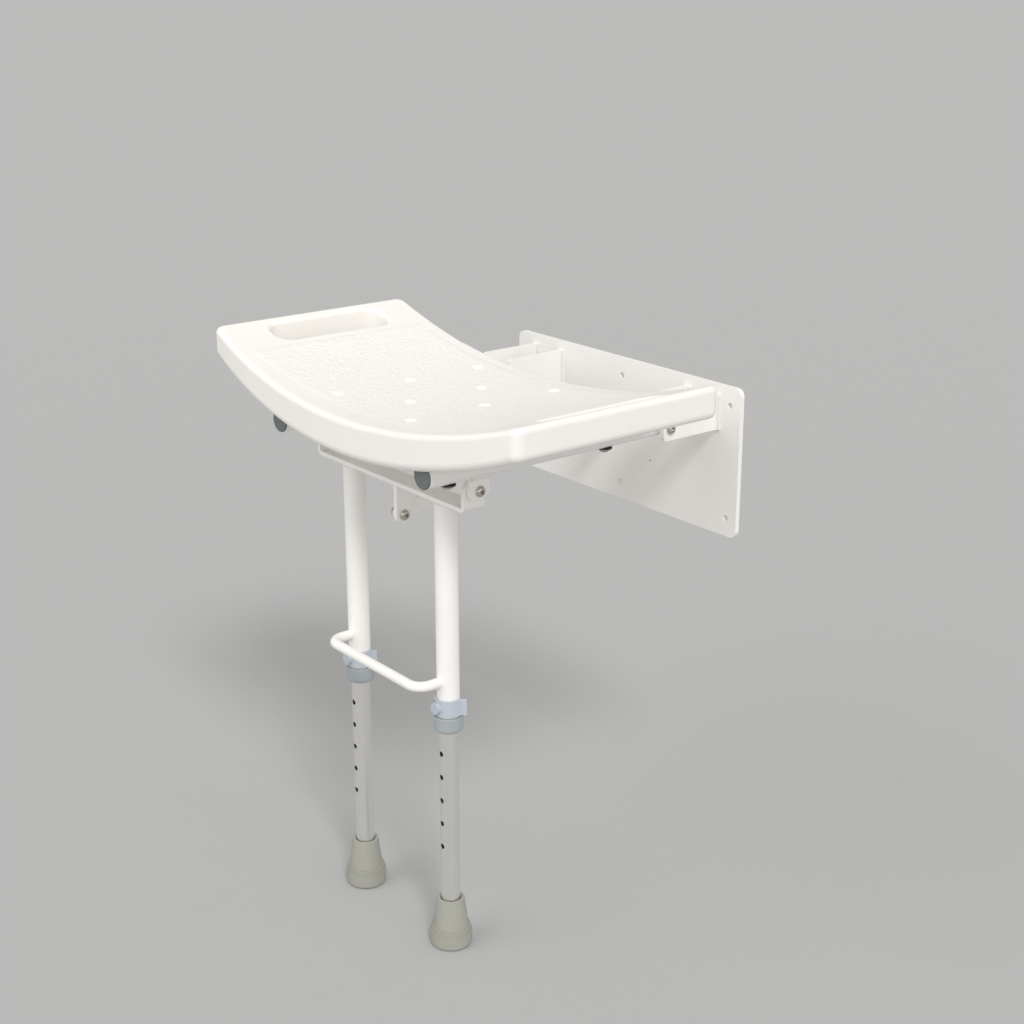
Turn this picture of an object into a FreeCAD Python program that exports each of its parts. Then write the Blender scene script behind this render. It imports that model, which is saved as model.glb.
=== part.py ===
import FreeCAD, Part
import math
import os
import re

import Sketcher
from FreeCAD import Placement, Rotation, Vector

# Fold down wall seat with two adjustable legs, in millimetres.
# The origin is the middle of the wall plate's back face. X runs along the
# wall, Y points into the wall, so the seat lies at negative Y, and Z is up.

# Driving dimensions
SIZES = {
    # Wall plate and its screw holes
    "plate_width": 340,
    "plate_height": 152,
    "plate_thick": 5,
    "plate_corner": 8,
    "screw_hole_side_inset": 14,
    "screw_hole_end_inset": 18.5,
    "screw_hole_bore": 6.4,
    "drip_hole_across": 45.6,
    "drip_hole_drop": 24,
    "drip_hole_bore": 3,
    # Arms on the wall plate
    "arm_thick": 5,
    "arm_gap": 36.5,
    "arm_reach": 78.7,
    "arm_foot": 31,
    "arm_top": 66.5,
    "arm_corner": 4,
    "stay_arm_reach": 100.5,
    "stay_arm_round": 10,
    "weld_leg": 3,
    "weld_end": 1,
    # Seat tubes and the wall pivot
    "tube_across": 118.25,
    "tube_bore_wall": 1.5,
    "tube_diameter": 23,
    "tube_rear": 46,
    "tube_front_inset": 13,
    "pivot_out": 70,
    "pivot_rise": 42.5,
    "plug_lip": 2,
    "plug_depth": 12,
    "plug_grip": 0.05,
    # Fasteners
    "bolt_diameter": 6,
    "bolt_head": 10.5,
    "bolt_head_height": 3.5,
    "bolt_head_round": 3.1,
    "bolt_end": 0.8,
    "bolt_socket": 4,
    "bolt_socket_depth": 2.2,
    "nut_flats": 10,
    "nut_height": 4,
    "spacer_diameter": 15,
    "running_gap": 0.3,
    "bore_gap": 0.1,
    # Seat board
    "seat_half_width": 247,
    "seat_low": 74,
    "seat_bend": 761,
    "seat_foot_bend": 669,
    "seat_thick": 36,
    "seat_rear": 111,
    "seat_depth": 249,
    "seat_bow": 17,
    "seat_rear_corner": 10,
    "seat_front_corner": 11,
    "seat_top_edge": 5,
    "seat_foot_edge": 8,
    "board_wall": 4,
    "tool_over": 10,
    "groove_gap": 0.2,
    # Handle slots
    "slot_inset": 31.5,
    "slot_width": 34,
    "slot_length": 136,
    "slot_behind_middle": 12.5,
    "slot_corner": 15,
    "slot_edge": 4,
    # Drain holes
    "drain_bore": 8,
    "drain_mouth": 14,
    "drain_mouth_depth": 8,
    "drain_row": 60,
    "drain_pitch": 84.5,
    "drain_behind_middle": 3,
    # Seat screws
    "seat_screw_front_inset": 41.5,
    "seat_screw_rear_inset": 22.7,
    "seat_screw_diameter": 5,
    "seat_screw_head": 9.5,
    "seat_screw_head_height": 3.2,
    "seat_screw_head_round": 1.9,
    "seat_screw_reach": 13,
    "washer_diameter": 15,
    "washer_thick": 1.2,
    # Lugs under the seat tubes
    "lug_thick": 5,
    "lug_inset": 2.75,
    "lug_front": 11.5,
    "lug_back": 11,
    "lug_drop": 7.5,
    "lug_corner": 6,
    "lug_bead_drop": 8.5,
    "leg_pivot_out": 288.5,
    "leg_pivot_rise": 20,
    # Leg frame
    "strip_thick": 4,
    "strip_front": 14,
    "strip_back": 9.5,
    "strip_bend": 6,
    "ear_round": 9.5,
    "ear_gap": 0.5,
    "leg_across": 75.6,
    "leg_set_out": 1,
    "leg_diameter": 22.2,
    "leg_wall": 1.2,
    "leg_bead_foot": 0.5,
    "leg_below_clip": 23.5,
    "rail_diameter": 10,
    "rail_drop": 181,
    "rail_reach": 35.5,
    "rail_bend": 14,
    "collar_diameter": 28.5,
    "collar_length": 16,
    "collar_lip": 3,
    "collar_round": 4,
    "collar_top_round": 1,
    "collar_gap": 0.4,
    # Stay
    "stay_lug_thick": 5,
    "stay_lug_back": 13,
    "stay_lug_round": 8.5,
    "stay_lug_foot_round": 8,
    "stay_pivot_out": 285,
    "stay_pivot_drop": 35.5,
    "stay_pin_out": 90,
    "stay_pin_rise": 11,
    "stay_thick": 5,
    "stay_width": 13,
    "stay_end_round": 6.1,
    "stay_gap": 0.5,
    "stay_slot_wall": 4,
    "stay_slot_width": 10,
    "stay_slot_length": 23.5,
    "stay_slot_beyond": 1.5,
    "stay_slot_lift": 1.35,
    "stay_slot_round": 2.5,
    "stay_slot_end_round": 7.2,
    "stay_neck": 4,
    "stay_taper": 10,
    # Leg extensions
    "extension_diameter": 19,
    "extension_wall": 1.2,
    "extension_above_pin": 37,
    "height_hole_bore": 5.5,
    "height_hole_pitch": 25,
    "height_holes_above_pin": 1,
    "height_hole_count": 8,
    # Rubber feet
    "foot_drop": 467,
    "foot_height": 51,
    "foot_floor": 6,
    "foot_base_diameter": 41.6,
    "foot_base_height": 16,
    "foot_base_round": 3,
    "foot_ledge_diameter": 39,
    "foot_ledge_height": 4.5,
    "foot_neck_base": 35,
    "foot_neck_top": 27,
    "foot_mouth_depth": 4,
    "foot_mouth_gap": 1,
    # Height clips
    "clip_below_rail": 25.5,
    "clip_height": 16,
    "clip_wall": 2.4,
    "clip_gap": 0.3,
    "clip_arm": 7,
    "clip_tip": 6,
    "clip_tip_angle": 40,
    "clip_lap": 0.8,
    "button_diameter": 11.5,
    "button_proud": 3.2,
    "clip_pin_diameter": 5,
    "clip_pin_gap": 0.5,
}

# Places worked out from the driving dimensions
SEAT_FRONT = "(seat_rear + seat_depth)"
SEAT_MIDDLE = "(seat_rear + seat_depth / 2)"
TUBE_FRONT = f"({SEAT_FRONT} - tube_front_inset)"
SCREW_FRONT = f"({SEAT_FRONT} - seat_screw_front_inset)"
SCREW_REAR = "(seat_rear + seat_screw_rear_inset)"
DRAIN_OUT = f"({SEAT_MIDDLE} - drain_behind_middle)"
SLOT_OUT = f"({SEAT_MIDDLE} - slot_behind_middle)"
SLOT_ACROSS = "(seat_half_width - slot_inset)"
BOW_RADIUS = "((pow(seat_half_width; 2) + pow(seat_bow; 2)) / (2 * seat_bow))"
BOW_CENTRE = f"({BOW_RADIUS} - {SEAT_FRONT})"
LEG_OUT = "(leg_pivot_out + leg_set_out)"
CLIP_DROP = "(rail_drop + clip_below_rail)"
LEG_LENGTH = f"({CLIP_DROP} + leg_below_clip)"
RAIL_OUT = f"({LEG_OUT} + rail_reach)"
EXTENSION_TOP = f"({CLIP_DROP} - extension_above_pin)"

NEAR = 1
FAR = -1
SIDES = (("near", NEAR), ("far", FAR))

# The way that a turned or drilled piece's own Z axis points
TO_UP = Rotation()
TO_RIGHT = Rotation(Vector(0, 1, 0), 90)
TO_LEFT = Rotation(Vector(0, 1, 0), -90)
TO_WALL = Rotation(Vector(1, 0, 0), -90)
TO_ROOM = Rotation(Vector(1, 0, 0), 90)
ALONG_BOLT = {NEAR: TO_LEFT, FAR: TO_RIGHT}

doc = FreeCAD.newDocument("wall_seat")
sheet = doc.addObject("Spreadsheet::Sheet", "sizes")
nodes = []


def fill_sheet():
    """Write each driving dimension in the sheet, with its name as alias."""
    for row, (name, number) in enumerate(SIZES.items(), start=1):
        sheet.set(f"A{row}", name)
        sheet.set(f"B{row}", str(number))
        sheet.setAlias(f"B{row}", name)
    doc.recompute()


def in_sheet(formula):
    """Put the sheet's name before each of its aliases in a formula."""
    def full_name(word):
        return "sizes." + word.group() if word.group() in SIZES else word.group()
    return re.sub(r"[a-z]\w*", full_name, str(formula))


def value(formula):
    """The number that a formula of the sheet's aliases gives."""
    return float(sheet.evalExpression(in_sheet(formula)))


def bind(thing, **formulas):
    """Tie properties of an object to formulas of the sheet's aliases."""
    for name, formula in formulas.items():
        thing.setExpression(name, in_sheet(formula))


def put(thing, x, y, z, turn=TO_UP):
    """Turn an object and tie its place to formulas."""
    thing.Placement = Placement(Vector(value(x), value(y), value(z)), turn)
    for axis, formula in zip("xyz", (x, y, z)):
        thing.setExpression(f"Placement.Base.{axis}", in_sheet(formula))
    return thing


def node(thing, label):
    """Name a finished sub-part, which is kept under that name."""
    thing.Label = label
    nodes.append(thing)
    return thing


# Part primitives and booleans

def cylinder(radius, height, x, y, z, turn=TO_UP):
    """A cylinder that starts at a point and runs the way it is turned."""
    rod = doc.addObject("Part::Cylinder", "rod")
    bind(rod, Radius=radius, Height=height)
    return put(rod, x, y, z, turn)


def box(x, y, z):
    """A box between two ends along each axis."""
    block = doc.addObject("Part::Box", "block")
    bind(block, Length=f"{x[1]} - ({x[0]})", Width=f"{y[1]} - ({y[0]})")
    bind(block, Height=f"{z[1]} - ({z[0]})")
    return put(block, x[0], y[0], z[0])


def together(pieces):
    """Several solids as one piece."""
    joined = doc.addObject("Part::MultiFuse", "joined")
    joined.Shapes = pieces
    return joined


def without(base, tools):
    """A solid with others cut away from it."""
    rest = doc.addObject("Part::Cut", "rest")
    rest.Base = base
    rest.Tool = tools[0] if len(tools) == 1 else together(tools)
    return rest


def group(pieces):
    """Identical pieces kept as separate solids of one node."""
    several = doc.addObject("Part::Compound", "group")
    several.Links = pieces
    return several


def pipe(radius, wall, length, x, y, z, turn=TO_UP):
    """A round tube."""
    outside = cylinder(radius, length, x, y, z, turn)
    inside = cylinder(f"{radius} - {wall}", length, x, y, z, turn)
    return without(outside, [inside])


# Bodies with sketches

def new_body():
    return doc.addObject("PartDesign::Body", "body")


def sketch_on(body, plane, offset="0"):
    """An empty sketch on one of the body's own planes."""
    sketch = body.newObject("Sketcher::SketchObject", "outline")
    planes = {item.Role: item for item in body.Origin.OriginFeatures}
    sketch.AttachmentSupport = [(planes[plane + "_Plane"], "")]
    sketch.MapMode = "FlatFace"
    sketch.setExpression("AttachmentOffset.Base.z", in_sheet(offset))
    return sketch


def hold(sketch, kind, formula, *targets):
    """Add a constraint whose size follows a formula."""
    index = sketch.addConstraint(Sketcher.Constraint(kind, *targets, value(formula)))
    sketch.setExpression(f"Constraints[{index}]", in_sheet(formula))


def hold_point(sketch, edge, point, across, up):
    hold(sketch, "DistanceX", across, -1, 1, edge, point)
    hold(sketch, "DistanceY", up, -1, 1, edge, point)


def draw_outline(sketch, corners):
    """A closed outline of straight lines through corners given as formulas."""
    spots = [Vector(value(across), value(up), 0) for across, up in corners]
    for number, spot in enumerate(spots):
        sketch.addGeometry(Part.LineSegment(spot, spots[(number + 1) % len(spots)]))
    for number, (across, up) in enumerate(corners):
        following = (number + 1) % len(corners)
        sketch.addConstraint(Sketcher.Constraint("Coincident", number, 2, following, 1))
        hold_point(sketch, number, 1, across, up)


def draw_circle(sketch, radius, across, up):
    centre = Vector(value(across), value(up), 0)
    edge = sketch.addGeometry(Part.Circle(centre, Vector(0, 0, 1), value(radius)))
    hold_point(sketch, edge, 3, across, up)
    hold(sketch, "Radius", radius, edge)


def pad(body, sketch, length):
    """Fill a sketch for a length along its plane's normal."""
    feature = body.newObject("PartDesign::Pad", "pad")
    feature.Profile = sketch
    bind(feature, Length=length)
    doc.recompute()


def drill(body, plane, holes):
    """Cut round holes through a body, given as radius and two coordinates."""
    sketch = sketch_on(body, plane)
    for radius, across, up in holes:
        draw_circle(sketch, radius, across, up)
    cut_through(body, sketch)


def cut_through(body, sketch):
    """Cut a sketch through the whole body, both ways from its plane."""
    before = body.Shape.Volume
    feature = body.newObject("PartDesign::Pocket", "pocket")
    feature.Profile = sketch
    feature.Type = "ThroughAll"
    feature.SideType = "Symmetric"
    doc.recompute()
    if body.Shape.Volume >= before:
        raise RuntimeError("a pocket cut nothing")


def plate(plane, start, thick, corners):
    """A flat plate from its outline."""
    body = new_body()
    sketch = sketch_on(body, plane, start)
    draw_outline(sketch, corners)
    pad(body, sketch, thick)
    return body


def round_edges(body, radius, chosen):
    """Round the edges of a body whose middle point passes a test."""
    edges = body.Tip.Shape.Edges
    names = [f"Edge{number}" for number, edge in enumerate(edges, start=1)
             if chosen(edge.CenterOfMass)]
    round_named(body, radius, names)


def round_named(body, radius, names):
    tip = body.Tip
    feature = body.newObject("PartDesign::Fillet", "round")
    feature.Base = (tip, names)
    bind(feature, Radius=radius)
    doc.recompute()


def turned(profile):
    """A piece turned about Z from corners given as radius and height."""
    body = new_body()
    sketch = sketch_on(body, "XZ")
    draw_outline(sketch, profile)
    feature = body.newObject("PartDesign::Revolution", "turned")
    feature.Profile = sketch
    feature.ReferenceAxis = (sketch, ["V_Axis"])
    feature.Angle = 360
    doc.recompute()
    return body


def same(first, second):
    return abs(first - second) < 0.001


# Fasteners

def button_bolt(length):
    """A domed bolt whose head sits below its own zero and shaft above it."""
    shaft = "bolt_diameter / 2"
    head = "bolt_head / 2"
    body = turned([("0", "-bolt_head_height"), (head, "-bolt_head_height"),
                   (head, "0"), (shaft, "0"), (shaft, length), ("0", length)])
    dome = -value("bolt_head_height")
    round_edges(body, "bolt_head_round",
                lambda middle: same(middle.z, dome))
    sketch = sketch_on(body, "XY", "-bolt_head_height")
    reach = "bolt_socket / sqrt(3)"
    draw_outline(sketch, [(f"{reach} * cos({turn} deg)", f"{reach} * sin({turn} deg)")
                          for turn in range(0, 360, 60)])
    feature = body.newObject("PartDesign::Pocket", "socket")
    feature.Profile = sketch
    feature.Reversed = True
    bind(feature, Length="bolt_socket_depth")
    doc.recompute()
    return body


def nut(x, y, z, turn):
    """A hexagon nut that starts at a point and runs the way it is turned."""
    prism = doc.addObject("Part::Prism", "prism")
    prism.Polygon = 6
    bind(prism, Circumradius="nut_flats / sqrt(3)", Height="nut_height")
    put(prism, x, y, z, turn)
    return without(prism, [cylinder("bolt_diameter / 2", "nut_height", x, y, z, turn)])


# Wall bracket

def wall_plate():
    side = "plate_width / 2"
    top = "plate_height / 2"
    body = plate("XZ", "0", "plate_thick",
                 [(f"-{side}", f"-{top}"), (side, f"-{top}"), (side, top), (f"-{side}", top)])
    half_width, half_height = value(side), value(top)
    round_edges(body, "plate_corner", lambda middle: same(abs(middle.x), half_width)
                and same(abs(middle.z), half_height))
    reach = "(plate_width / 2 - screw_hole_side_inset)"
    rise = "(plate_height / 2 - screw_hole_end_inset)"
    holes = [("screw_hole_bore / 2", f"{column} * {reach}", f"{row} * {rise}")
             for column in (-1, 0, 1) for row in (-1, 1)]
    holes.append(("drip_hole_bore / 2", "drip_hole_across", "-drip_hole_drop"))
    drill(body, "XZ", holes)
    node(body, "wall_plate")


def arm_start(side, outer):
    """Where an arm's lower X face lies."""
    half = f"({outer} * arm_gap / 2 + {(outer - 1) // 2} * arm_thick)"
    if side == FAR:
        half = f"({-outer} * arm_gap / 2 + {(-outer - 1) // 2} * arm_thick)"
        return f"-tube_across + {half}"
    return f"tube_across + {half}"


def arm(side, outer):
    """One flat arm; outer is 1 for the arm farther from the middle, else -1."""
    body = plate("YZ", arm_start(side, outer), "arm_thick",
                 [("-arm_reach", "arm_foot"), ("-plate_thick", "arm_foot"),
                  ("-plate_thick", "arm_top"), ("-arm_reach", "arm_top")])
    front = -value("arm_reach")
    round_edges(body, "arm_corner", lambda middle: same(middle.y, front)
                and (same(middle.z, value("arm_foot")) or same(middle.z, value("arm_top"))))
    drill(body, "YZ", [("bolt_diameter / 2", "-pivot_out", "pivot_rise")])
    return body


def stay_arm():
    half_height = "(stay_arm_reach - stay_pin_out)"
    foot = f"stay_pin_rise - {half_height}"
    top = f"stay_pin_rise + {half_height}"
    body = plate("YZ", "-stay_lug_thick / 2", "stay_lug_thick",
                 [("-stay_arm_reach", foot), ("-plate_thick", foot),
                  ("-plate_thick", top), ("-stay_arm_reach", top)])
    front = -value("stay_arm_reach")
    ends = (value(foot), value(top))
    round_edges(body, "stay_arm_round", lambda middle: same(middle.y, front)
                and (same(middle.z, ends[0]) or same(middle.z, ends[1])))
    drill(body, "YZ", [("bolt_diameter / 2", "-stay_pin_out", "stay_pin_rise")])
    node(body, "stay_arm")
    return foot, top


def upright_bead(x, side, foot, top):
    """A quarter round weld bead in the corner of an arm and the plate."""
    bead = doc.addObject("Part::Cylinder", "bead")
    bead.Angle = 90
    bind(bead, Radius="weld_leg", Height=f"{top} - ({foot})")
    start = -90 if side == NEAR else 180
    return put(bead, x, "-plate_thick", foot, Rotation(Vector(0, 0, 1), start))


def bracket_welds(stay_foot, stay_top):
    beads = []
    for side in (NEAR, FAR):
        for outer in (1, -1):
            low = arm_start(side, outer)
            beads.append(upright_bead(low, FAR, "arm_foot", "arm_top"))
            beads.append(upright_bead(f"{low} + arm_thick", NEAR, "arm_foot", "arm_top"))
    beads.append(upright_bead("-stay_lug_thick / 2", FAR, stay_foot, stay_top))
    beads.append(upright_bead("stay_lug_thick / 2", NEAR, stay_foot, stay_top))
    node(group(beads), "bracket_welds")


def wall_pivots():
    """Bolts, nuts and spacers that carry the seat tubes between the arms."""
    outer_face = "(tube_across + arm_gap / 2 + arm_thick)"
    inner_face = "(tube_across - arm_gap / 2 - arm_thick)"
    spacer_length = "arm_gap / 2 - tube_diameter / 2 - running_gap"
    bolts, nuts, spacers = [], [], []
    for side in (NEAR, FAR):
        bolt = button_bolt("arm_gap + 2 * arm_thick + nut_height + bolt_end")
        bolts.append(put(bolt, f"{side} * {outer_face}", "-pivot_out", "pivot_rise",
                         ALONG_BOLT[side]))
        nuts.append(nut(f"{side} * {inner_face}", "-pivot_out", "pivot_rise",
                        ALONG_BOLT[side]))
        for end, turn in ((1, ALONG_BOLT[side]), (-1, ALONG_BOLT[-side])):
            start = f"{side} * (tube_across + {end} * arm_gap / 2)"
            spacers.append(pipe("(spacer_diameter / 2)",
                                "(spacer_diameter / 2 - bolt_diameter / 2)",
                                spacer_length, start, "-pivot_out", "pivot_rise", turn))
    node(group(bolts), "wall_pivot_bolts")
    node(group(nuts), "wall_pivot_nuts")
    node(group(spacers), "wall_pivot_spacers")


def stay_pin():
    """A domed bolt through the middle arm and the stay's slot."""
    far_face = "-(stay_lug_thick / 2 + stay_gap + stay_thick + running_gap)"
    length = f"stay_lug_thick / 2 - {far_face} + nut_height + bolt_end"
    node(put(button_bolt(length), far_face, "-stay_pin_out", "stay_pin_rise", TO_RIGHT),
         "stay_pin")
    node(nut("stay_lug_thick / 2", "-stay_pin_out", "stay_pin_rise", TO_RIGHT),
         "stay_pin_nut")


# Seat

def bent_slab(skin):
    """A slab between two bent faces, skin thinner on every side."""
    body = new_body()
    sketch = sketch_on(body, "XZ", f"seat_rear + {skin}")
    half = f"(seat_half_width - {skin})"
    draw_bend(sketch, f"seat_bend + {skin}", "seat_low + seat_bend", half)
    draw_bend(sketch, f"seat_foot_bend - {skin}", "seat_low - seat_thick + seat_foot_bend", half)
    upper, lower = sketch.Geometry
    ends = ((1, upper.StartPoint, lower.StartPoint), (2, upper.EndPoint, lower.EndPoint))
    for end, top, foot in ends:
        line = sketch.addGeometry(Part.LineSegment(top, foot))
        sketch.addConstraint(Sketcher.Constraint("Coincident", line, 1, 0, end))
        sketch.addConstraint(Sketcher.Constraint("Coincident", line, 2, 1, end))
    pad(body, sketch, f"seat_depth - 2 * {skin}")
    return body


def draw_bend(sketch, radius, centre, reach):
    """A hanging arc between two points at the same reach each side."""
    middle = Vector(0, value(centre), 0)
    spread = math.asin(value(f"{reach} / ({radius})"))
    down = math.pi * 1.5
    circle = Part.Circle(middle, Vector(0, 0, 1), value(radius))
    edge = sketch.addGeometry(Part.ArcOfCircle(circle, down - spread, down + spread))
    hold_point(sketch, edge, 3, "0", centre)
    hold(sketch, "Radius", radius, edge)
    hold(sketch, "DistanceX", f"-{reach}", -1, 1, edge, 1)
    hold(sketch, "DistanceX", reach, -1, 1, edge, 2)


def cut_bow(body, skin):
    """Cut the board's front to a shallow outward bow."""
    sketch = sketch_on(body, "XY")
    reach = "(seat_half_width + tool_over)"
    beyond = f"-{SEAT_FRONT} - tool_over"
    draw_bend(sketch, f"{BOW_RADIUS} - {skin}", BOW_CENTRE, reach)
    arc = sketch.Geometry[0]
    corners = [Vector(value(f"-{reach}"), value(beyond), 0), Vector(value(reach), value(beyond), 0)]
    sketch.addGeometry(Part.LineSegment(arc.StartPoint, corners[0]))
    sketch.addGeometry(Part.LineSegment(corners[0], corners[1]))
    sketch.addGeometry(Part.LineSegment(corners[1], arc.EndPoint))
    for link in ((0, 1, 1, 1), (1, 2, 2, 1), (2, 2, 3, 1), (3, 2, 0, 2)):
        sketch.addConstraint(Sketcher.Constraint("Coincident", *link))
    hold_point(sketch, 2, 1, f"-{reach}", beyond)
    hold_point(sketch, 2, 2, reach, beyond)
    cut_through(body, sketch)


def bent_faces(shape, radii):
    """Names of the faces of a shape that are bent to the given radii."""
    return [f"Face{number}" for number, face in enumerate(shape.Faces, start=1)
            if isinstance(face.Surface, Part.Cylinder)
            and any(same(face.Surface.Radius, radius) for radius in radii)]


def rounded_slab(skin):
    """The board's outside, or its hollow when skin is the wall."""
    body = bent_slab(skin)
    cut_bow(body, skin)
    half = f"(seat_half_width - {skin})"
    end, rear = value(half), value(f"-seat_rear - {skin}")
    front = value(f"{BOW_CENTRE} - sqrt(pow({BOW_RADIUS} - {skin}; 2) - pow({half}; 2))")
    round_edges(body, f"seat_rear_corner - {skin}",
                lambda middle: same(abs(middle.x), end) and same(middle.y, rear))
    round_edges(body, f"seat_front_corner - {skin}",
                lambda middle: same(abs(middle.x), end) and same(middle.y, front))
    for radius, rim in ((f"seat_bend + {skin}", "seat_top_edge"),
                        (f"seat_foot_bend - {skin}", "seat_foot_edge")):
        round_named(body, f"{rim} - {skin}", bent_faces(body.Tip.Shape, [value(radius)]))
    return body


def surface_height(across):
    """Height of the board's upper face at an X place."""
    return f"(seat_low + seat_bend - sqrt(pow(seat_bend; 2) - pow({across}; 2)))"


def slot_tool(side, extra):
    """A rounded block that fills a handle slot."""
    half_width = f"(slot_width / 2 + {extra})"
    half_length = f"(slot_length / 2 + {extra})"
    tall = "(2 * seat_thick)"
    body = plate("XY", f"-{tall}", f"2 * {tall}",
                 [(f"-{half_width}", f"-{half_length}"), (half_width, f"-{half_length}"),
                  (half_width, half_length), (f"-{half_width}", half_length)])
    round_edges(body, f"slot_corner + {extra}", lambda middle: same(middle.z, 0))
    return put(body, f"{side} * {SLOT_ACROSS}", f"-{SLOT_OUT}", "seat_low")


def drain_places():
    """X and Y of the eight drain holes, in three staggered rows."""
    for row in (-1, 1):
        for step in (-1, 0, 1):
            yield f"({row} * drain_row)", f"-{DRAIN_OUT} + {step} * drain_pitch"
    for step in (-0.5, 0.5):
        yield "0", f"-{DRAIN_OUT} + {step} * drain_pitch"


def drain_tool(across, out):
    """A drain hole with a wide mouth on top."""
    over = 2
    slope = "((drain_mouth - drain_bore) / 2 / drain_mouth_depth)"
    cone = doc.addObject("Part::Cone", "mouth")
    bind(cone, Radius1="drain_bore / 2", Height=f"drain_mouth_depth + {over}",
         Radius2=f"drain_mouth / 2 + {over} * {slope}")
    put(cone, across, out, f"{surface_height(across)} - drain_mouth_depth")
    bore = cylinder("drain_bore / 2", "seat_thick + tool_over", across, out,
                    f"{surface_height(across)} - seat_thick - tool_over")
    return together([cone, bore])


def screw_places():
    for side in (NEAR, FAR):
        for out in (SCREW_FRONT, SCREW_REAR):
            yield f"{side} * tube_across", f"-{out}"


def seat_cavity():
    """The hollow inside the board, clear of all that passes through it."""
    inner = rounded_slab("board_wall")
    solid = [slot_tool(side, "board_wall") for side in (NEAR, FAR)]
    for across, out in drain_places():
        solid.append(cylinder("drain_mouth / 2 + board_wall / 2", "3 * seat_thick",
                              across, out, "seat_low - seat_thick - tool_over"))
    for across, out in screw_places():
        solid.append(cylinder("seat_screw_diameter / 2 + board_wall", "3 * seat_thick",
                              across, out, "pivot_rise"))
    for side in (NEAR, FAR):
        solid.append(groove(side, "tube_diameter / 2 + groove_gap + board_wall"))
    return without(inner, solid)


def groove(side, radius):
    """A rod along a seat tube, from behind the board to the tube's front."""
    return cylinder(radius, f"{TUBE_FRONT} + groove_gap", f"{side} * tube_across", "0",
                    "pivot_rise", TO_ROOM)


def seat_board():
    outside = rounded_slab("0")
    slotted = without(outside, [slot_tool(side, "0") for side in (NEAR, FAR)])
    doc.recompute()
    softened = doc.addObject("Part::Fillet", "softened")
    softened.Base = slotted
    radius = value("slot_edge")
    softened.Edges = [(number, radius, radius) for number in slot_rims(slotted.Shape)]
    tools = [seat_cavity()]
    tools += [groove(side, "tube_diameter / 2 + groove_gap") for side in (NEAR, FAR)]
    tools += [drain_tool(across, out) for across, out in drain_places()]
    for across, out in screw_places():
        tools.append(cylinder("seat_screw_diameter / 2", "seat_screw_reach + tube_diameter / 2",
                              across, out, "pivot_rise"))
    node(without(softened, tools), "seat_board")


def slot_rims(shape):
    """Numbers of the edges where the handle slots meet the bent faces."""
    faces = [shape.getElement(name) for name in bent_faces(
        shape, [value("seat_bend"), value("seat_foot_bend")])]
    inner, outer = (value(f"{SLOT_ACROSS} {sign} slot_width") for sign in "-+")
    end = value("slot_length / 2 + slot_edge")
    for number, edge in enumerate(shape.Edges, start=1):
        middle = edge.CenterOfMass
        on_face = any(rim.isSame(edge) for face in faces for rim in face.Edges)
        if on_face and inner < abs(middle.x) < outer \
                and abs(middle.y + value(SLOT_OUT)) < end:
            yield number


def seat_tube(name, side):
    """A round tube with a cross bore for the wall pivot and two screw bores."""
    across = f"{side} * tube_across"
    start = "-tube_rear - plug_lip"
    length = f"{TUBE_FRONT} - tube_rear - 2 * plug_lip"
    whole = pipe("(tube_diameter / 2)", "tube_bore_wall", length, across, start,
                 "pivot_rise", TO_ROOM)
    reach = "tube_diameter"
    bores = [cylinder("bolt_diameter / 2 + bore_gap", f"2 * {reach}", f"{across} - {reach}",
                      "-pivot_out", "pivot_rise", TO_RIGHT)]
    for place, out in screw_places():
        if place == across:
            bores.append(cylinder("seat_screw_diameter / 2 + bore_gap", f"2 * {reach}",
                                  across, out, f"pivot_rise - {reach}"))
    node(without(whole, bores), f"seat_tube_{name}")


def tube_plugs():
    stub = "tube_diameter / 2 - tube_bore_wall - plug_grip"
    plugs = []
    for side in (NEAR, FAR):
        for out, turn in ((TUBE_FRONT, TO_WALL), ("tube_rear", TO_ROOM)):
            plug = turned([("0", "0"), ("tube_diameter / 2", "0"),
                           ("tube_diameter / 2", "plug_lip"), (stub, "plug_lip"),
                           (stub, "plug_depth"), ("0", "plug_depth")])
            round_edges(plug, "plug_lip / 2", lambda middle: same(middle.z, 0))
            plugs.append(put(plug, f"{side} * tube_across", f"-{out}", "pivot_rise", turn))
    node(group(plugs), "tube_plugs")


def seat_screws():
    """Pan head screws and washers under the seat tubes."""
    tube_foot = "pivot_rise - tube_diameter / 2"
    head = "seat_screw_head / 2"
    shaft = "seat_screw_diameter / 2"
    length = "washer_thick + tube_diameter + seat_screw_reach"
    screws, washers = [], []
    for across, out in screw_places():
        screw = turned([("0", "-seat_screw_head_height"), (head, "-seat_screw_head_height"),
                        (head, "0"), (shaft, "0"), (shaft, length), ("0", length)])
        low = -value("seat_screw_head_height")
        round_edges(screw, "seat_screw_head_round",
                    lambda middle: same(middle.z, low))
        screws.append(put(screw, across, out, f"{tube_foot} - washer_thick"))
        washers.append(pipe("(washer_diameter / 2)",
                            "(washer_diameter / 2 - seat_screw_diameter / 2)",
                            "washer_thick", across, out, f"{tube_foot} - washer_thick"))
    node(group(screws), "seat_screws")
    node(group(washers), "seat_washers")


def lug_outer():
    """X of the outer face of the near lug."""
    return "(tube_across + lug_inset + lug_thick)"


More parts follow.
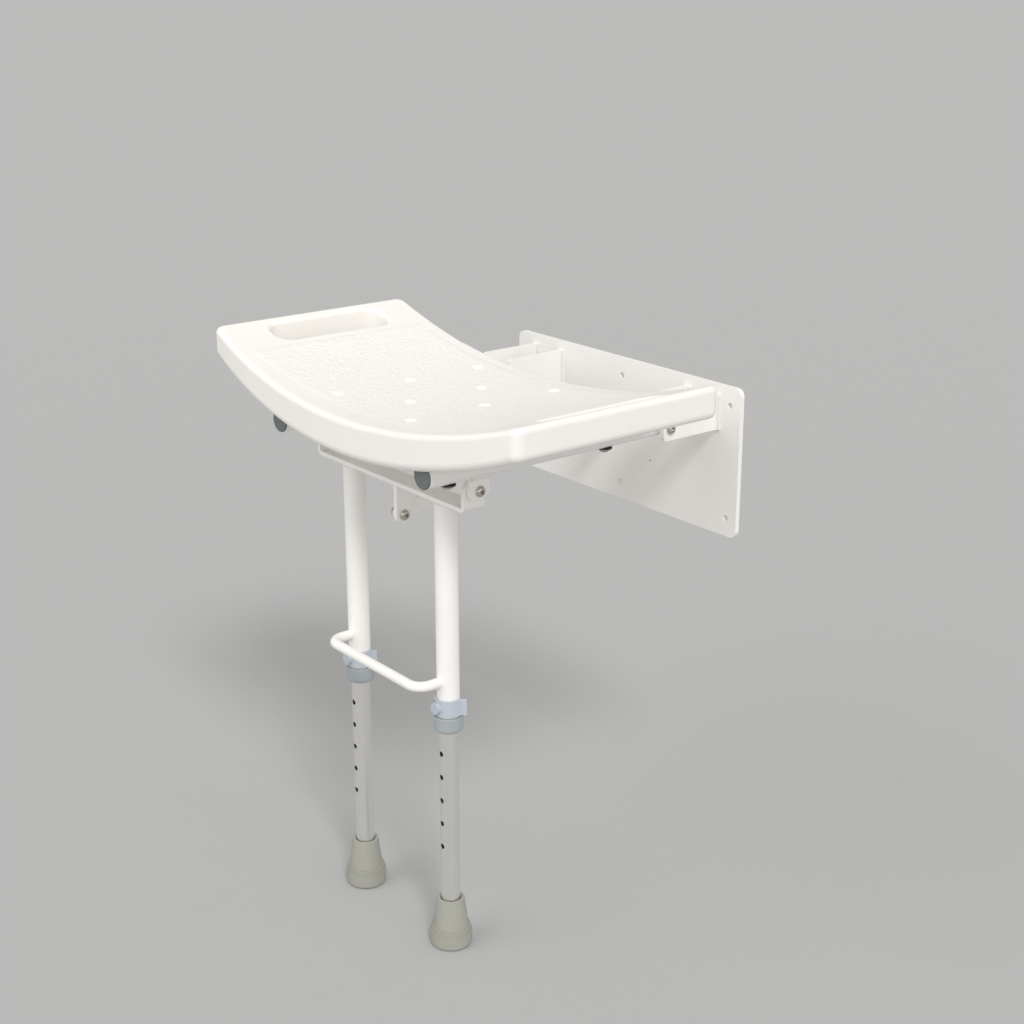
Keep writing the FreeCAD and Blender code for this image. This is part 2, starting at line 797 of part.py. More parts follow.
def leg_lug(name, side):
    """A small plate under a seat tube, cut to the tube's round."""
    start = "tube_across + lug_inset"
    if side == FAR:
        start = f"-{lug_outer()}"
    front = "-leg_pivot_out - lug_front"
    back = "-leg_pivot_out + lug_back"
    foot = "leg_pivot_rise - lug_drop"
    body = plate("YZ", start, "lug_thick",
                 [(front, foot), (f"{back} - lug_corner", foot), (back, f"{foot} + lug_corner"),
                  (back, "pivot_rise - tube_diameter / 4"),
                  (front, "pivot_rise - tube_diameter / 4")])
    corner = (value(front), value(foot))
    round_edges(body, "lug_corner",
                lambda middle: same(middle.y, corner[0]) and same(middle.z, corner[1]))
    drill(body, "YZ", [("bolt_diameter / 2", "-leg_pivot_out", "leg_pivot_rise")])
    node(without(body, [groove(side, "tube_diameter / 2")]), f"leg_lug_{name}")


def lug_welds():
    """Beads along the outer faces of the lugs, under the tubes."""
    beads = []
    for side in (NEAR, FAR):
        bead = cylinder("weld_leg", "lug_front + lug_back - 2 * weld_end", f"{side} * {lug_outer()}",
                        "-leg_pivot_out + lug_back - weld_end", "pivot_rise - lug_bead_drop",
                        TO_ROOM)
        inner = ("0", lug_outer()) if side == NEAR else (f"-{lug_outer()}", "0")
        block = box(inner, (f"-{TUBE_FRONT}", "0"), ("0", "pivot_rise"))
        beads.append(without(bead, [groove(side, "tube_diameter / 2"), block]))
    node(group(beads), "lug_welds")


def ear_outer():
    """X of the outer face of the near ear of the leg strip."""
    return "(tube_across + lug_inset - ear_gap)"


def leg_pivots():
    """Bolts and nuts that carry the leg frame on the lugs."""
    nut_face = f"({ear_outer()} - strip_thick - running_gap)"
    bolts, nuts = [], []
    for side in (NEAR, FAR):
        bolt = button_bolt(f"{lug_outer()} - {nut_face} + nut_height + bolt_end")
        bolts.append(put(bolt, f"{side} * {lug_outer()}", "-leg_pivot_out", "leg_pivot_rise",
                         ALONG_BOLT[side]))
        nuts.append(nut(f"{side} * {nut_face}", "-leg_pivot_out", "leg_pivot_rise",
                        ALONG_BOLT[side]))
    node(group(bolts), "leg_pivot_bolts")
    node(group(nuts), "leg_pivot_nuts")


# Leg frame

def leg_strip():
    """A flat strip with both ends bent up into ears."""
    outer = ear_outer()
    inner = f"({outer} - strip_thick)"
    top = "leg_pivot_rise + ear_round"
    body = plate("XZ", "leg_pivot_out - strip_back", "strip_front + strip_back",
                 [(f"-{outer}", "0"), (outer, "0"), (outer, top), (inner, top),
                  (inner, "strip_thick"), (f"-{inner}", "strip_thick"),
                  (f"-{inner}", top), (f"-{outer}", top)])
    outside, inside = value(outer), value(inner)
    round_edges(body, "strip_bend", lambda middle: same(abs(middle.x), outside)
                and same(middle.z, 0))
    floor = value("strip_thick")
    round_edges(body, "strip_bend - strip_thick", lambda middle: same(abs(middle.x), inside)
                and same(middle.z, floor))
    height = value(top)
    ends = (value("-leg_pivot_out - strip_front"), value("-leg_pivot_out + strip_back"))
    round_edges(body, "ear_round", lambda middle: same(middle.z, height)
                and (same(middle.y, ends[0]) or same(middle.y, ends[1])))
    drill(body, "YZ", [("bolt_diameter / 2 + bore_gap", "-leg_pivot_out", "leg_pivot_rise")])
    node(body, "leg_strip")


def leg_rod(side, radius, length=LEG_LENGTH):
    """A rod on the axis of a leg, down from the strip."""
    return cylinder(radius, length, f"{side} * leg_across", f"-{LEG_OUT}", f"-({length})")


def upper_tube(name, side):
    """A leg tube with a hole in front for the clip's pin."""
    outside = leg_rod(side, "leg_diameter / 2")
    inside = leg_rod(side, "leg_diameter / 2 - leg_wall")
    hole = cylinder("clip_pin_diameter / 2 + clip_pin_gap", "leg_diameter",
                    f"{side} * leg_across", f"-{LEG_OUT}", f"-{CLIP_DROP}", TO_ROOM)
    node(without(outside, [inside, hole]), f"upper_tube_{name}")


def leg_rail():
    """A round bar bent into a U, from the front of one leg to the other."""
    body = new_body()
    path = sketch_on(body, "XY", "-rail_drop")
    side, back, front = value("leg_across"), -value(LEG_OUT), -value(RAIL_OUT)
    bend = value("rail_bend")
    draw_rail_path(path, side, back, front, bend)
    section = sketch_on(body, "XZ", LEG_OUT)
    draw_circle(section, "rail_diameter / 2", "-leg_across", "-rail_drop")
    feature = body.newObject("PartDesign::AdditivePipe", "rail")
    feature.Profile = section
    feature.Spine = (path, [])
    doc.recompute()
    legs = [leg_rod(end, "leg_diameter / 2") for end in (NEAR, FAR)]
    node(without(body, legs), "leg_rail")


def draw_rail_path(path, side, back, front, bend):
    """Three straight runs joined by two quarter turns."""
    turn = front + bend
    path.addGeometry(Part.LineSegment(Vector(-side, back, 0), Vector(-side, turn, 0)))
    path.addGeometry(quarter(-side + bend, turn, bend, 180))
    path.addGeometry(Part.LineSegment(Vector(-side + bend, front, 0),
                                      Vector(side - bend, front, 0)))
    path.addGeometry(quarter(side - bend, turn, bend, 270))
    path.addGeometry(Part.LineSegment(Vector(side, turn, 0), Vector(side, back, 0)))
    links = ((0, 2, 1, 1), (1, 2, 2, 1), (2, 2, 3, 1), (3, 2, 4, 1))
    for link in links:
        path.addConstraint(Sketcher.Constraint("Tangent", *link))
    hold_point(path, 0, 1, "-leg_across", f"-{LEG_OUT}")
    hold_point(path, 4, 2, "leg_across", f"-{LEG_OUT}")
    path.addConstraint(Sketcher.Constraint("Vertical", 0))
    path.addConstraint(Sketcher.Constraint("Equal", 1, 3))
    hold(path, "Radius", "rail_bend", 1)
    hold(path, "DistanceY", f"-{RAIL_OUT}", -1, 1, 2, 1)


def quarter(x, y, radius, start):
    circle = Part.Circle(Vector(x, y, 0), Vector(0, 0, 1), radius)
    return Part.ArcOfCircle(circle, math.radians(start), math.radians(start + 90))


def stay_lug():
    """A small plate under the strip that carries the stay."""
    front = "-stay_pivot_out - stay_lug_round"
    foot = "-stay_pivot_drop - stay_lug_round"
    body = plate("YZ", "-stay_lug_thick / 2", "stay_lug_thick",
                 [(front, "0"), (front, foot), ("-stay_pivot_out + stay_lug_round", foot),
                  ("-stay_pivot_out + stay_lug_back", "0")])
    low = value(foot)
    round_edges(body, "stay_lug_foot_round", lambda middle: same(middle.z, low)
                and same(middle.x, 0))
    drill(body, "YZ", [("bolt_diameter / 2", "-stay_pivot_out", "-stay_pivot_drop")])
    node(body, "stay_lug")


def leg_welds():
    """Beads round the leg tubes and beside the stay's lug, under the strip."""
    beads = []
    for side in (NEAR, FAR):
        ring = doc.addObject("Part::Cone", "bead")
        bind(ring, Radius1="leg_diameter / 2 + leg_bead_foot", Height="weld_leg",
             Radius2="leg_diameter / 2 + weld_leg / 2")
        put(ring, f"{side} * leg_across", f"-{LEG_OUT}", "-weld_leg")
        beads.append(without(ring, [leg_rod(side, "leg_diameter / 2")]))
    for side, start in ((NEAR, -90), (FAR, 180)):
        bead = doc.addObject("Part::Cylinder", "bead")
        bead.Angle = 90
        bind(bead, Radius="weld_leg", Height="stay_lug_round + stay_lug_back - 2 * weld_end")
        lie = TO_ROOM.multiply(Rotation(Vector(0, 0, 1), start))
        put(bead, f"{side} * stay_lug_thick / 2", "-stay_pivot_out + stay_lug_back - weld_end", "0",
            lie)
        beads.append(bead)
    node(group(beads), "leg_welds")


def collar(name, side):
    """A plastic collar over the end of a leg tube, with a lip below it."""
    outside = turned([("0", "0"), ("collar_diameter / 2", "0"),
                      ("collar_diameter / 2", "collar_length"), ("0", "collar_length")])
    round_edges(outside, "collar_round", lambda middle: same(middle.z, 0))
    top = value("collar_length")
    round_edges(outside, "collar_top_round", lambda middle: same(middle.z, top))
    foot = f"-{LEG_LENGTH} - collar_lip"
    put(outside, f"{side} * leg_across", f"-{LEG_OUT}", foot)
    seat = leg_rod(side, "leg_diameter / 2")
    bore = cylinder("extension_diameter / 2 + collar_gap", "collar_length",
                    f"{side} * leg_across", f"-{LEG_OUT}", foot)
    node(without(outside, [seat, bore]), f"collar_{name}")


def stay_fastener():
    """The bolt and nut that hold the stay to its lug."""
    near_face = "stay_lug_thick / 2"
    nut_face = "-(stay_lug_thick / 2 + stay_gap + stay_thick + running_gap)"
    bolt = button_bolt(f"{near_face} - {nut_face} + nut_height + bolt_end")
    node(put(bolt, near_face, "-stay_pivot_out", "-stay_pivot_drop", TO_LEFT), "stay_bolt")
    node(nut(nut_face, "-stay_pivot_out", "-stay_pivot_drop", TO_LEFT), "stay_nut")


# Stay

def stay_bar():
    """A flat bar with a bolt hole at the legs and a slot at the wall."""
    run = "(stay_pivot_out - stay_pin_out)"
    climb = "(stay_pivot_drop + stay_pin_rise)"
    reach = f"sqrt(pow({run}; 2) + pow({climb}; 2))"
    half = "(stay_width / 2)"
    wide = "(stay_slot_width / 2 + stay_slot_wall)"
    slot_end = f"({reach} + bolt_diameter / 2 + stay_slot_beyond)"
    slot_start = f"({slot_end} - stay_slot_length)"
    end = f"({slot_end} + stay_slot_wall)"
    upper, lower = f"stay_slot_lift + {wide}", f"stay_slot_lift - {wide}"
    body = plate("YZ", "0", "stay_thick",
                 [(f"-{half}", f"-{half}"), (f"{slot_start} - stay_neck - stay_taper", f"-{half}"),
                  (f"{slot_start} - stay_neck", lower), (end, lower), (end, upper),
                  (f"{slot_start} - stay_neck", upper), (f"{slot_start} - stay_neck - stay_taper", half),
                  (f"-{half}", half)])
    near_end, far_end = -value(half), value(end)
    middle_height = value("stay_slot_lift")
    round_edges(body, "stay_end_round", lambda middle: same(middle.y, near_end)
                and not same(middle.z, 0))
    round_edges(body, "stay_slot_end_round", lambda middle: same(middle.y, far_end)
                and not same(middle.z, middle_height))
    drill(body, "YZ", [("bolt_diameter / 2 + bore_gap", "0", "0")])
    slot = sketch_on(body, "YZ")
    top, foot = (f"stay_slot_lift {sign} stay_slot_width / 2" for sign in "+-")
    draw_outline(slot, [(slot_start, foot), (slot_end, foot), (slot_end, top),
                        (slot_start, top)])
    cut_through(body, slot)
    ends = (value(slot_start), value(slot_end))
    rise = value("stay_slot_width / 2")
    round_edges(body, "stay_slot_round",
                lambda middle: same(abs(middle.z - middle_height), rise)
                and (same(middle.y, ends[0]) or same(middle.y, ends[1])))
    slope = math.degrees(math.atan2(value(climb), value(run)))
    put(body, "-(stay_lug_thick / 2 + stay_gap + stay_thick)", "-stay_pivot_out",
        "-stay_pivot_drop", Rotation(Vector(1, 0, 0), slope))
    node(body, "stay_bar")


# Leg extensions

def lower_tube(name, side):
    """An aluminium tube with a row of height holes in front."""
    across = f"{side} * leg_across"
    foot = "-foot_drop + foot_floor"
    length = f"foot_drop - foot_floor - {EXTENSION_TOP}"
    whole = pipe("(extension_diameter / 2)", "extension_wall", length, across, f"-{LEG_OUT}", foot)
    holes = [cylinder("height_hole_bore / 2", "extension_diameter", across, f"-{LEG_OUT}",
                      f"-{CLIP_DROP} - ({step} - height_holes_above_pin) * height_hole_pitch", TO_ROOM)
             for step in range(SIZES["height_hole_count"])]
    node(without(whole, holes), f"lower_tube_{name}")


def rubber_foot(name, side):
    """A foot with a wide base, a ledge and a tapered neck round its bore."""
    base = "foot_base_diameter / 2"
    ledge = "foot_ledge_diameter / 2"
    step = "foot_base_height + foot_ledge_height"
    bore = "extension_diameter / 2"
    mouth = f"{bore} + foot_mouth_gap"
    body = turned([("0", "0"), (base, "0"), (base, "foot_base_height"),
                   (ledge, "foot_base_height"), (ledge, step), ("foot_neck_base / 2", step),
                   ("foot_neck_top / 2", "foot_height"), (mouth, "foot_height"),
                   (mouth, "foot_height - foot_mouth_depth"),
                   (bore, "foot_height - foot_mouth_depth"), (bore, "foot_floor"),
                   ("0", "foot_floor")])
    round_edges(body, "foot_base_round", lambda middle: same(middle.z, 0))
    put(body, f"{side} * leg_across", f"-{LEG_OUT}", "-foot_drop")
    node(body, f"foot_{name}")


# Height clips

def clip_inner():
    return "(leg_diameter / 2 + clip_gap)"


def clip_outer():
    return f"({clip_inner()} + clip_wall)"


def clip(name, side):
    """A spring clip: half a ring, two straight arms, flared tips, a button."""
    across = f"{side} * leg_across"
    low, high = f"-{CLIP_DROP} - clip_height / 2", f"-{CLIP_DROP} + clip_height / 2"
    ring = cylinder(clip_outer(), "clip_height", across, f"-{LEG_OUT}", low)
    front = box((f"{across} - {clip_outer()}", f"{across} + {clip_outer()}"),
                (f"-{LEG_OUT}", f"-{LEG_OUT} + {clip_outer()}"), (low, high))
    pieces = [without(ring, [front])]
    for end in (1, -1):
        pieces += clip_arm(across, end, low, high)
    pieces.append(cylinder("button_diameter / 2", f"{clip_outer()} + button_proud", across,
                           f"-{LEG_OUT}", f"-{CLIP_DROP}", TO_ROOM))
    whole = together(pieces)
    inside = cylinder(clip_inner(), "clip_height", across, f"-{LEG_OUT}", low)
    bore = cylinder("clip_pin_diameter / 2", clip_outer(), across, f"-{LEG_OUT}",
                    f"-{CLIP_DROP}", TO_ROOM)
    node(without(whole, [inside, bore]), f"clip_{name}")


def clip_arm(across, end, low, high):
    """The straight arm and the flared tip on one side of a clip."""
    edges = sorted((f"{across} + {end} * {clip_inner()}", f"{across} + {end} * {clip_outer()}"),
                   key=value)
    straight = box(edges, (f"-{LEG_OUT} - clip_lap", f"-{LEG_OUT} + clip_arm"), (low, high))
    tip = doc.addObject("Part::Box", "tip")
    bind(tip, Length="clip_wall", Width="clip_tip", Height="clip_height")
    turn = -end * value("clip_tip_angle")
    corner = edges[0]
    put(tip, corner, f"-{LEG_OUT} + clip_arm - clip_lap", low, Rotation(Vector(0, 0, 1), turn))
    return [straight, tip]


def clip_pin(name, side):
    """The steel pin from the button to just short of the extension."""
    tip = "(extension_diameter / 2 + clip_gap)"
    pin = cylinder("clip_pin_diameter / 2", f"{clip_outer()} - {tip}",
                   f"{side} * leg_across", f"-{LEG_OUT} - {tip}", f"-{CLIP_DROP}", TO_ROOM)
    node(pin, f"clip_pin_{name}")


def build():
    fill_sheet()
    wall_plate()
    for name, side in SIDES:
        node(arm(side, 1), f"arm_{name}_outer")
        node(arm(side, -1), f"arm_{name}_inner")
    bracket_welds(*stay_arm())
    wall_pivots()
    stay_pin()
    seat_board()
    tube_plugs()
    seat_screws()
    lug_welds()
    leg_pivots()
    leg_strip()
    leg_rail()
    stay_lug()
    leg_welds()
    stay_fastener()
    stay_bar()
    for name, side in SIDES:
        seat_tube(name, side)
        leg_lug(name, side)
        upper_tube(name, side)
        collar(name, side)
        lower_tube(name, side)
        rubber_foot(name, side)
        clip(name, side)
        clip_pin(name, side)
    doc.recompute()


def check():
    """Stop where an object failed or a sub-part has no sound shape."""
    for thing in doc.Objects:
        if "Invalid" in thing.State or "Error" in thing.State:
            raise RuntimeError(f"{thing.Name} failed: {thing.State}")
    for thing in nodes:
        if thing.Shape.isNull() or not thing.Shape.isValid():
            raise RuntimeError(f"{thing.Label} has no sound shape")


def export():
    os.makedirs("parts", exist_ok=True)
    for thing in nodes:
        thing.Shape.exportStep(os.path.join("parts", thing.Label + ".step"))


build()
check()
export()
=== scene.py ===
import math

import bpy
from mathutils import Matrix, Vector

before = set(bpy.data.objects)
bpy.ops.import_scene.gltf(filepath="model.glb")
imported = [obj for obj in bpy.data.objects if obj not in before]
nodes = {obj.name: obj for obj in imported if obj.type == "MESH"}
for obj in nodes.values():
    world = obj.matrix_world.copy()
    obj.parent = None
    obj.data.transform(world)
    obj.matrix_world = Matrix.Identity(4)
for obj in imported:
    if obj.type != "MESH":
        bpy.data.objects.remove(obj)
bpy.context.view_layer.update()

bpy.context.scene.view_settings.view_transform = "Standard"


# Camera: a short telephoto, a little above the seat and to its near side.
camera_data = bpy.data.cameras.new("camera")
camera_data.sensor_width = 36
camera_data.lens = 60.9
camera_data.clip_start = 0.05
camera_data.clip_end = 200
camera = bpy.data.objects.new("camera", camera_data)
camera.location = (1.2948, -1.1850, 0.4972)
look = Vector((-0.7405, 0.5912, -0.3195))
camera.rotation_mode = "QUATERNION"
camera.rotation_quaternion = look.to_track_quat("-Z", "Y")
bpy.context.scene.collection.objects.link(camera)
bpy.context.scene.camera = camera


# Wall bracket: a flat steel plate with five arms welded square to it. The
# parts are laser cut, welded, then powder coated white all over.
def linear(hex_colour):
    """An sRGB hex colour as linear red, green, blue and alpha."""
    parts = [int(hex_colour[place:place + 2], 16) / 255 for place in (1, 3, 5)]
    return [part / 12.92 if part <= 0.04045 else ((part + 0.055) / 1.055) ** 2.4
            for part in parts] + [1]


def add_node(tree, kind, settings=None, **inputs):
    """Add a node, give it its settings, and fill or link its inputs."""
    made = tree.nodes.new(kind)
    for name, value in (settings or {}).items():
        setattr(made, name, value)
    for name, value in inputs.items():
        socket = made.inputs[int(name[1:])] if name[1:].isdigit() else made.inputs[
            name.replace("_", " ")]
        if isinstance(value, bpy.types.NodeSocket):
            tree.links.new(value, socket)
        else:
            socket.default_value = value
    return made


def new_material(name):
    """An empty node material with its output node."""
    material = bpy.data.materials.new(name)
    material.use_nodes = True
    material.node_tree.nodes.clear()
    output = add_node(material.node_tree, "ShaderNodeOutputMaterial")
    return material, material.node_tree, output


def dress(material, *names):
    """Give CAD nodes a material."""
    for name in names:
        for place in nodes[name].material_slots:
            place.material = material


def grained(name, colours, roughness, grain, depth, metallic=0, **extra):
    """A finish with a fine grain and a faint drift of colour and gloss."""
    material, tree, output = new_material(name)
    place = add_node(tree, "ShaderNodeTexCoord").outputs["Object"]
    fine = add_node(tree, "ShaderNodeTexNoise", Vector=place, Scale=1 / grain, Detail=2)
    drift = add_node(tree, "ShaderNodeTexNoise", Vector=place, Scale=1 / 0.05, Detail=3)
    tint = add_node(tree, "ShaderNodeValToRGB", Fac=drift.outputs["Fac"])
    for element, colour in zip(tint.color_ramp.elements, colours):
        element.color = linear(colour)
    gloss = add_node(tree, "ShaderNodeMapRange", Value=fine.outputs["Fac"],
                     To_Min=roughness[0], To_Max=roughness[1])
    bump = add_node(tree, "ShaderNodeBump", Height=fine.outputs["Fac"], Strength=0.25,
                    Distance=depth)
    shader = add_node(tree, "ShaderNodeBsdfPrincipled", Base_Color=tint.outputs["Color"],
                      Roughness=gloss.outputs["Result"], Metallic=metallic,
                      Normal=bump.outputs["Normal"], **extra)
    tree.links.new(shader.outputs["BSDF"], output.inputs["Surface"])
    return material


# A satin coat: soft highlights broken by a faint orange peel.
coat = grained("satin_white_powder_coat", ("#F0EDE9", "#F7F5F2"), (0.34, 0.44), 0.0022, 0.0003,
               IOR=1.5)
dress(coat, "wall_plate", "arm_near_outer", "arm_near_inner", "arm_far_outer", "arm_far_inner",
      "stay_arm")


# Weld beads on the bracket: ripples of a hand laid bead that still show
# through the coat, which pools and dulls in the corners.
def coated_weld():
    material, tree, output = new_material("coated_weld_bead")
    place = add_node(tree, "ShaderNodeTexCoord").outputs["Object"]
    ripple = add_node(tree, "ShaderNodeTexNoise", Vector=place, Scale=1 / 0.004, Detail=1,
                      Distortion=1.2)
    bump = add_node(tree, "ShaderNodeBump", Height=ripple.outputs["Fac"], Strength=0.8,
                    Distance=0.0012)
    shader = add_node(tree, "ShaderNodeBsdfPrincipled", Base_Color=linear("#EDEAE5"),
                      Roughness=0.45, IOR=1.5, Normal=bump.outputs["Normal"])
    tree.links.new(shader.outputs["BSDF"], output.inputs["Surface"])
    return material


# A rippled bead under paint: lumpy, a little duller than the flat steel.
weld = coated_weld()
dress(weld, "bracket_welds")


# Wall pivots and the stay's pin: domed stainless socket bolts with thin nuts,
# and nylon spacers that centre the seat tubes between the arms.
# Bright stainless steel: sharp small glints, with the finest of grain.
stainless = grained("bright_stainless_steel", ("#B9B3AB", "#CBC7C1"), (0.14, 0.3), 0.0006,
                    0.00005, metallic=1)
dress(stainless, "wall_pivot_bolts", "wall_pivot_nuts", "stay_pin", "stay_pin_nut")
# Natural nylon: milky and waxy, a touch darker than the coat beside it.
nylon = grained("natural_nylon", ("#DEDCD5", "#E8E6E0"), (0.42, 0.5), 0.001, 0.0001, IOR=1.53)
dress(nylon, "wall_pivot_spacers")


# Seat board: one hollow piece of moulded polyethylene, white and dished, with
# a smooth rim and a pebbled panel that keeps a wet user from sliding.
def pebbled_polyethylene():
    material, tree, output = new_material("pebbled_white_polyethylene")
    place = add_node(tree, "ShaderNodeTexCoord").outputs["Object"]
    along = add_node(tree, "ShaderNodeSeparateXYZ", Vector=place)
    facing = add_node(tree, "ShaderNodeTexCoord").outputs["Normal"]
    upward = add_node(tree, "ShaderNodeSeparateXYZ", Vector=facing)
    masks = []
    panel_edge = 0.006
    for axis, middle, reach in (("X", 0, 0.188), ("Y", -0.231, 0.104)):
        shifted = add_node(tree, "ShaderNodeMath", {"operation": "SUBTRACT"},
                           _0=along.outputs[axis], _1=middle)
        away = add_node(tree, "ShaderNodeMath", {"operation": "ABSOLUTE"},
                        _0=shifted.outputs[0])
        masks.append(add_node(tree, "ShaderNodeMapRange", {"interpolation_type": "SMOOTHSTEP"},
                              Value=away.outputs[0], From_Min=reach - panel_edge,
                              From_Max=reach, To_Min=1, To_Max=0).outputs["Result"])
    inside = add_node(tree, "ShaderNodeMath", {"operation": "MULTIPLY"}, _0=masks[0],
                      _1=masks[1])
    top = add_node(tree, "ShaderNodeMapRange", Value=upward.outputs["Z"], From_Min=0.6,
                   From_Max=0.8)
    panel = add_node(tree, "ShaderNodeMath", {"operation": "MULTIPLY"},
                     _0=inside.outputs[0], _1=top.outputs["Result"])
    wobble = add_node(tree, "ShaderNodeTexNoise", Vector=place, Scale=1 / 0.005, Detail=2)
    bent = add_node(tree, "ShaderNodeVectorMath", {"operation": "MULTIPLY_ADD"},
                    _0=wobble.outputs["Color"], _1=(0.0024, 0.0024, 0.0024), _2=place)
    pebble = add_node(tree, "ShaderNodeTexVoronoi", {"feature": "SMOOTH_F1"},
                      Vector=bent.outputs[0], Scale=1 / 0.0038, Smoothness=0.6)
    inverse = add_node(tree, "ShaderNodeMath", {"operation": "SUBTRACT"}, _0=1.0,
                       _1=pebble.outputs["Distance"])
    relief = add_node(tree, "ShaderNodeMath", {"operation": "MULTIPLY"},
                      _0=inverse.outputs[0], _1=panel.outputs[0])
    fine = add_node(tree, "ShaderNodeTexNoise", Vector=place, Scale=1 / 0.0012, Detail=2)
    skin = add_node(tree, "ShaderNodeBump", Height=fine.outputs["Fac"], Strength=0.1,
                    Distance=0.0002)
    bump = add_node(tree, "ShaderNodeBump", Height=relief.outputs[0], Strength=0.65,
                    Distance=0.0013, Normal=skin.outputs["Normal"])
    drift = add_node(tree, "ShaderNodeTexNoise", Vector=place, Scale=1 / 0.08, Detail=2)
    tint = add_node(tree, "ShaderNodeValToRGB", Fac=drift.outputs["Fac"])
    tint.color_ramp.elements[0].color = linear("#F2EFE9")
    tint.color_ramp.elements[1].color = linear("#F7F4EF")
    gloss = add_node(tree, "ShaderNodeMapRange", Value=panel.outputs[0], To_Min=0.3,
                     To_Max=0.46)
    shader = add_node(tree, "ShaderNodeBsdfPrincipled", Base_Color=tint.outputs["Color"],
                      Roughness=gloss.outputs["Result"], IOR=1.51, Subsurface_Weight=0.12,
                      Subsurface_Radius=(0.004, 0.003, 0.002),
                      Normal=bump.outputs["Normal"])
    tree.links.new(shader.outputs["BSDF"], output.inputs["Surface"])
    return material


# Warm white plastic: pebbled in the panel, smoother and glossier on the rim.
dress(pebbled_polyethylene(), "seat_board")


# Seat tubes: round steel tubes in grooves under the board, coated like the
# bracket, with dark plastic plugs pressed in their ends.
dress(coat, "seat_tube_near", "seat_tube_far")
# Moulded plug plastic: nearly black green, with a dull sheen.
plug = grained("dark_plug_plastic", ("#5E6866", "#6D7775"), (0.4, 0.52), 0.0008, 0.0001,
               IOR=1.49)
dress(plug, "tube_plugs")


# Seat screws: pan head screws from below with zinc plated washers.
dress(stainless, "seat_screws")
# Zinc plated washers with painted shade: the dark colour is the board's shadow painted in,
# with a cloudy grain.
shade_darkened_zinc = grained("zinc_plate_with_painted_shade", ("#55514C", "#6B6760"), (0.38, 0.55), 0.0009, 0.0001,
               metallic=1)
dress(shade_darkened_zinc, "seat_washers")


# Leg lugs and pivots: small steel plates welded under the tubes, and the
# bolts that the leg frame swings on.
dress(coat, "leg_lug_near", "leg_lug_far")
dress(weld, "lug_welds")
dress(stainless, "leg_pivot_bolts", "leg_pivot_nuts")


# Leg frame: a strip with bent up ears, two tubes, a bent round bar between
# them and the stay's lug, all welded and coated white.
dress(coat, "leg_strip", "upper_tube_near", "upper_tube_far", "leg_rail", "stay_lug")
dress(weld, "leg_welds")


# Stay: a flat bar bolted to the leg frame's lug, slotted round the wall pin.
dress(coat, "stay_bar")
dress(stainless, "stay_bolt", "stay_nut")


# Collars: plastic caps pressed over the lower ends of the leg tubes.
# Blue grey plastic: even colour and a soft moulded sheen.
collar = grained("blue_grey_collar_plastic", ("#9AA0A4", "#A6ACB0"), (0.34, 0.44), 0.001,
                 0.0001, IOR=1.5)
dress(collar, "collar_near", "collar_far")


# Clips: moulded spring clips that snap round the leg, each with a steel pin.
# A paler blue grey than the collar, with a brighter sheen on the button.
clip = grained("blue_grey_clip_plastic", ("#B2BAC3", "#BEC5CC"), (0.28, 0.38), 0.001, 0.0001,
               IOR=1.5)
dress(clip, "clip_near", "clip_far")
dress(stainless, "clip_pin_near", "clip_pin_far")


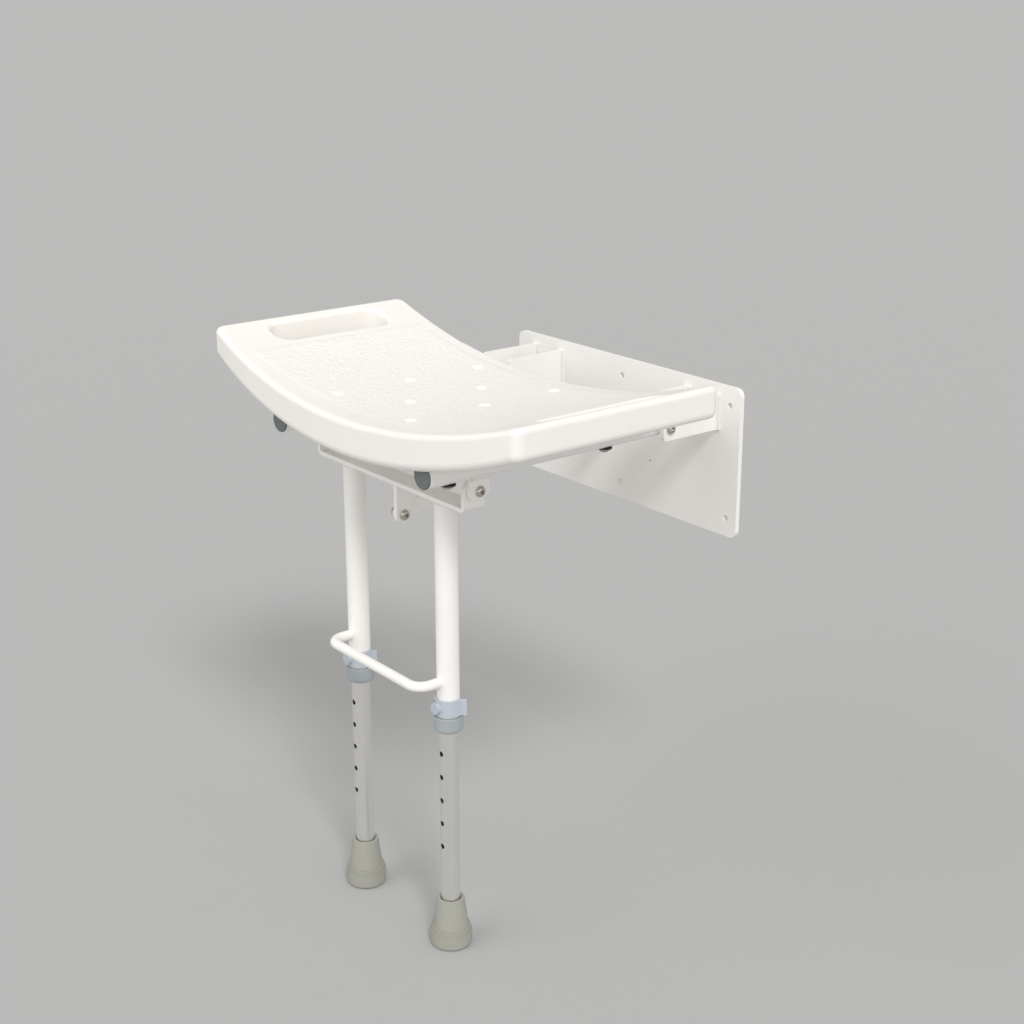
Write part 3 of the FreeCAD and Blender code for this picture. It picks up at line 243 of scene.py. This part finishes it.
# Leg extensions: drawn aluminium tubes with punched holes, clear anodised.
# Satin metal: pale, brushed along its length by the drawing.
def drawn_aluminium():
    material, tree, output = new_material("clear_anodised_aluminium")
    place = add_node(tree, "ShaderNodeTexCoord").outputs["Object"]
    drawn = add_node(tree, "ShaderNodeMapping", Vector=place, Scale=(1, 1, 0.02))
    lines = add_node(tree, "ShaderNodeTexNoise", Vector=drawn.outputs["Vector"],
                     Scale=1 / 0.0007, Detail=3)
    gloss = add_node(tree, "ShaderNodeMapRange", Value=lines.outputs["Fac"], To_Min=0.26,
                     To_Max=0.44)
    bump = add_node(tree, "ShaderNodeBump", Height=lines.outputs["Fac"], Strength=0.15,
                    Distance=0.00008)
    shader = add_node(tree, "ShaderNodeBsdfPrincipled", Base_Color=linear("#EFEEEA"),
                      Metallic=1, Roughness=gloss.outputs["Result"],
                      Normal=bump.outputs["Normal"])
    tree.links.new(shader.outputs["BSDF"], output.inputs["Surface"])
    return material


dress(drawn_aluminium(), "lower_tube_near", "lower_tube_far")


# Rubber feet: moulded tips pushed over the extensions, wide at the floor.
# Warm grey rubber: matt, slightly mottled, with no clear highlight.
rubber = grained("warm_grey_rubber", ("#98988F", "#A8A89F"), (0.6, 0.78), 0.0014, 0.0003,
                 IOR=1.52)
dress(rubber, "foot_near", "foot_far")


# Floor: a plain pale floor, far enough out to fill the frame.
def studio_floor():
    half = 60
    level = -0.467
    mesh = bpy.data.meshes.new("floor")
    mesh.from_pydata([(-half, -half, level), (half, -half, level), (half, half, level),
                      (-half, half, level)], [], [(0, 1, 2, 3)])
    floor = bpy.data.objects.new("floor", mesh)
    bpy.context.scene.collection.objects.link(floor)
    material, tree, output = new_material("pale_floor")
    shader = add_node(tree, "ShaderNodeBsdfPrincipled", Base_Color=linear("#B3B3B3"),
                      Roughness=0.9)
    tree.links.new(shader.outputs["BSDF"], output.inputs["Surface"])
    mesh.materials.append(material)


studio_floor()


# Studio light: one broad soft key from the near front side, high up, wide
# weak lamps from the side and the front, and an even white surround.
def soft_sun(name, energy, spread, direction):
    """A distant lamp whose spread in degrees sets how soft its shadows are."""
    data = bpy.data.lights.new(name, "SUN")
    data.energy = energy
    data.angle = math.radians(spread)
    lamp = bpy.data.objects.new(name, data)
    lamp.rotation_mode = "QUATERNION"
    lamp.rotation_quaternion = Vector(direction).to_track_quat("-Z", "Y")
    bpy.context.scene.collection.objects.link(lamp)


soft_sun("key", 1.4, 14, (-2.2, 1.0, -2.3))
soft_sun("side", 0.6, 60, (-1.0, 0.1, -0.1))
soft_sun("fill", 0.9, 60, (0.2, 1.0, -0.5))
world = bpy.data.worlds.new("surround")
bpy.context.scene.world = world
world.use_nodes = True
surround = world.node_tree.nodes["Background"]
surround.inputs["Color"].default_value = (1, 0.99, 0.975, 1)
surround.inputs["Strength"].default_value = 0.6
